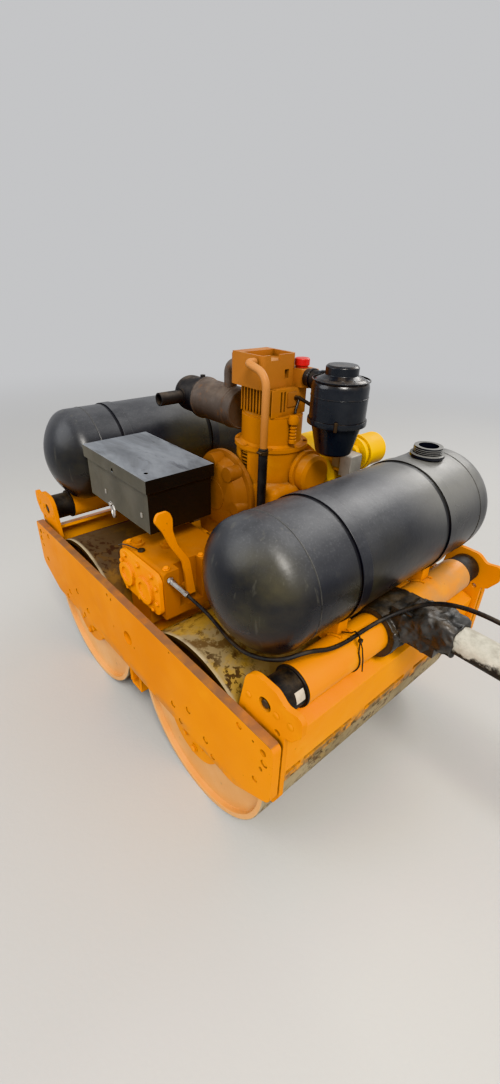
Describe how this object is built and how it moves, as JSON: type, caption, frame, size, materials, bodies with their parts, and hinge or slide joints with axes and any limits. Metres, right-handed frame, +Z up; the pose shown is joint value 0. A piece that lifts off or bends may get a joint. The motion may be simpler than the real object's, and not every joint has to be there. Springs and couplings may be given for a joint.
{
  "type": "double drum vibratory roller",
  "caption": "Hand-guided double drum vibratory roller with diesel engine, two water tanks, battery box and lifting tiller",
  "frame": {"origin": "on the ground under the middle of the overall length, on the drums' middle plane", "axes": "+X forward, away from the tiller; +Y left; +Z up"},
  "size_m": [2.59, 0.806, 1.032],
  "materials": {
    "yellow_paint": "satin",
    "engine_paint": "satin",
    "drum_skin": "matte",
    "tank_paint": "satin",
    "box_paint": "satin",
    "rubber": "matte",
    "muffler_paint": "matte",
    "filter_paint": "satin",
    "red_cap": "gloss",
    "bare_steel": "satin",
    "tube_paint": "matte",
    "black_plastic": "matte"
  },
  "bodies": {
    "frame": {"side_plate_left": "yellow_paint", "side_plate_right": "yellow_paint", "bearing_carriers": "yellow_paint", "ears_rear": "yellow_paint", "ears_front": "yellow_paint", "end_beam_rear": "yellow_paint", "end_beam_front": "yellow_paint", "middle_member": "yellow_paint", "buffers_rear": "rubber", "buffers_front": "rubber", "cross_tube_rear": "yellow_paint", "cross_tube_front": "yellow_paint", "frame_rails": "yellow_paint", "engine_bed": "yellow_paint", "water_tank_rear": "tank_paint", "water_tank_front": "tank_paint", "tank_straps_rear": "tank_paint", "tank_straps_front": "tank_paint", "tank_cradle_rear": "yellow_paint", "tank_cradle_front": "yellow_paint", "gearbox_housing": "yellow_paint", "gearbox_cover": "yellow_paint", "gear_lever": "yellow_paint", "battery_box": "box_paint", "battery_bracket": "box_paint", "engine_crankcase": "engine_paint", "engine_barrel": "engine_paint", "engine_head": "engine_paint", "fuel_cap": "red_cap", "flywheel_housing": "engine_paint", "clutch_housing": "engine_paint", "muffler": "muffler_paint", "air_cleaner": "filter_paint", "intake_pipe": "rubber", "breather_pipe": "engine_paint", "breather_hose": "rubber", "cable_ferrule": "bare_steel", "cable_front": "rubber"},
    "rear_drum": {"drum_rear": "drum_skin"},
    "front_drum": {"drum_front": "drum_skin"},
    "tiller": {"tiller_collar": "rubber", "tiller_tube": "tube_paint", "handle": "tube_paint", "travel_lever": "black_plastic", "cable_rear": "rubber"},
    "lid": {"battery_lid": "box_paint"}
  },
  "joints": [
    {"name": "rear_drum_roll", "type": "hinge", "parent": "frame", "child": "rear_drum", "pos_m": [0.405, 0, 0.24], "axis": [0, 1, 0], "continuous": true},
    {"name": "front_drum_roll", "type": "hinge", "parent": "frame", "child": "front_drum", "pos_m": [0.973, 0, 0.24], "axis": [0, 1, 0], "continuous": true},
    {"name": "tiller_lift", "type": "hinge", "parent": "frame", "child": "tiller", "pos_m": [0.175, 0, 0.512], "axis": [0, 1, 0], "range_deg": [0, 24]},
    {"name": "lid_lift", "type": "slide", "parent": "frame", "child": "lid", "axis": [0, 0, 1], "range_m": [0, 0.12]}
  ]
}
